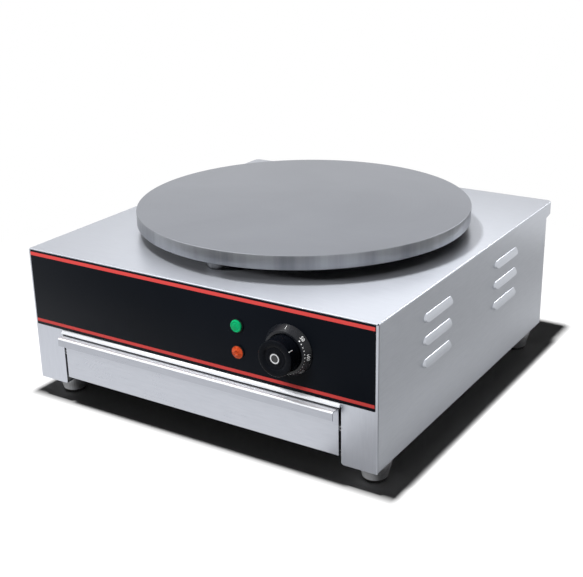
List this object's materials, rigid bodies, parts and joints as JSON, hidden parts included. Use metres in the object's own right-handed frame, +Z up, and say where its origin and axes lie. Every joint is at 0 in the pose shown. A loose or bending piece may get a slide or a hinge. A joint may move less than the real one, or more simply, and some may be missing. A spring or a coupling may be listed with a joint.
{
  "type": "electric crepe maker",
  "caption": "Countertop electric crepe maker: a round cast hotplate on posts above a square sheet-steel housing with thermostat dial, indicator lamps, side louvres and a pull-out crumb drawer.",
  "frame": {"origin": "on the floor under the feet, at the middle of the outline in plan", "axes": "+Z up out of the hotplate, +Y towards the back, +X towards the knob's side of the front panel"},
  "size_m": [0.464, 0.498, 0.2155],
  "materials": {
    "stainless_sheet": "fine brushed, grain along the length of each sheet",
    "overlay_film": "satin black with a red line near the upper and the lower edge",
    "zinc_steel": "bright zinc-plated",
    "plain_sheet": "dull mill finish",
    "foot_metal": "polished",
    "foot_rubber": "matt",
    "hotplate_iron": "turned and ground, light grey",
    "post_steel": "turned",
    "element_sheath": "dull, heat-tinted",
    "ceramic": "unglazed white",
    "mineral_wool": "pressed fibre board",
    "copper": "bare, dull",
    "dark_plastic": "matt black moulding",
    "switch_plastic": "cream moulding",
    "dial_plastic": "satin black with plain white numbers",
    "knob_plastic": "satin black moulding",
    "cap_metal": "satin",
    "pointer_white": "white inlay",
    "green_lens": "translucent green",
    "amber_lens": "translucent amber, facetted",
    "terminal_ceramic": "white moulding",
    "brass": "bare",
    "red_wire": "silicone sleeve",
    "blue_wire": "silicone sleeve",
    "bond_wire": "green and yellow sleeve"
  },
  "bodies": {
    "housing": {"outer_shell": "stainless_sheet", "front_panel": "stainless_sheet", "control_overlay": "overlay_film", "rear_panel": "stainless_sheet", "rear_screws": "zinc_steel", "base_plate": "plain_sheet", "inner_deck": "plain_sheet", "drawer_walls": "plain_sheet", "deck_rivets": "zinc_steel", "base_rivets": "zinc_steel", "runner_left": "plain_sheet", "runner_right": "plain_sheet", "foot_cups": "foot_metal", "foot_pads": "foot_rubber", "foot_bolts": "zinc_steel", "foot_nuts": "zinc_steel", "support_ring": "plain_sheet", "hotplate": "hotplate_iron", "plate_posts": "post_steel", "post_bolts": "zinc_steel", "outer_element": "element_sheath", "inner_element": "element_sheath", "element_beads": "ceramic", "clamp_disc": "plain_sheet", "insulation_pad": "mineral_wool", "insulation_pan": "plain_sheet", "centre_stud": "zinc_steel", "centre_nut": "zinc_steel", "sensor_bulb": "copper", "bulb_clip": "plain_sheet", "capillary_tube": "copper", "limit_switch": "dark_plastic", "thermostat_body": "switch_plastic", "bush_nut": "zinc_steel", "dial_ring": "dial_plastic", "power_lamp_lens": "green_lens", "heat_lamp_lens": "amber_lens", "lamp_holders": "dark_plastic", "lamp_clips": "zinc_steel", "terminal_block": "terminal_ceramic", "terminal_screws": "brass", "power_wires": "red_wire", "lamp_wires": "blue_wire", "bond_wire": "bond_wire", "cable_gland": "dark_plastic", "gland_nut": "dark_plastic", "gland_seal": "foot_rubber", "gland_locknut": "dark_plastic", "bond_stud": "brass", "bond_nut": "brass"},
    "drawer": {"drawer_front": "stainless_sheet", "drawer_tray": "stainless_sheet"},
    "knob": {"knob_grip": "knob_plastic", "knob_cap": "cap_metal", "knob_pointer": "pointer_white", "thermostat_shaft": "zinc_steel"}
  },
  "joints": [
    {"name": "drawer_slide", "type": "slide", "parent": "housing", "child": "drawer", "axis": [0, -1, 0], "range_m": [0, 0.3]},
    {"name": "knob_turn", "type": "hinge", "parent": "housing", "child": "knob", "pos_m": [0.127, -0.221, 0.1395], "axis": [0, 1, 0], "range_deg": [-58, 212]}
  ]
}
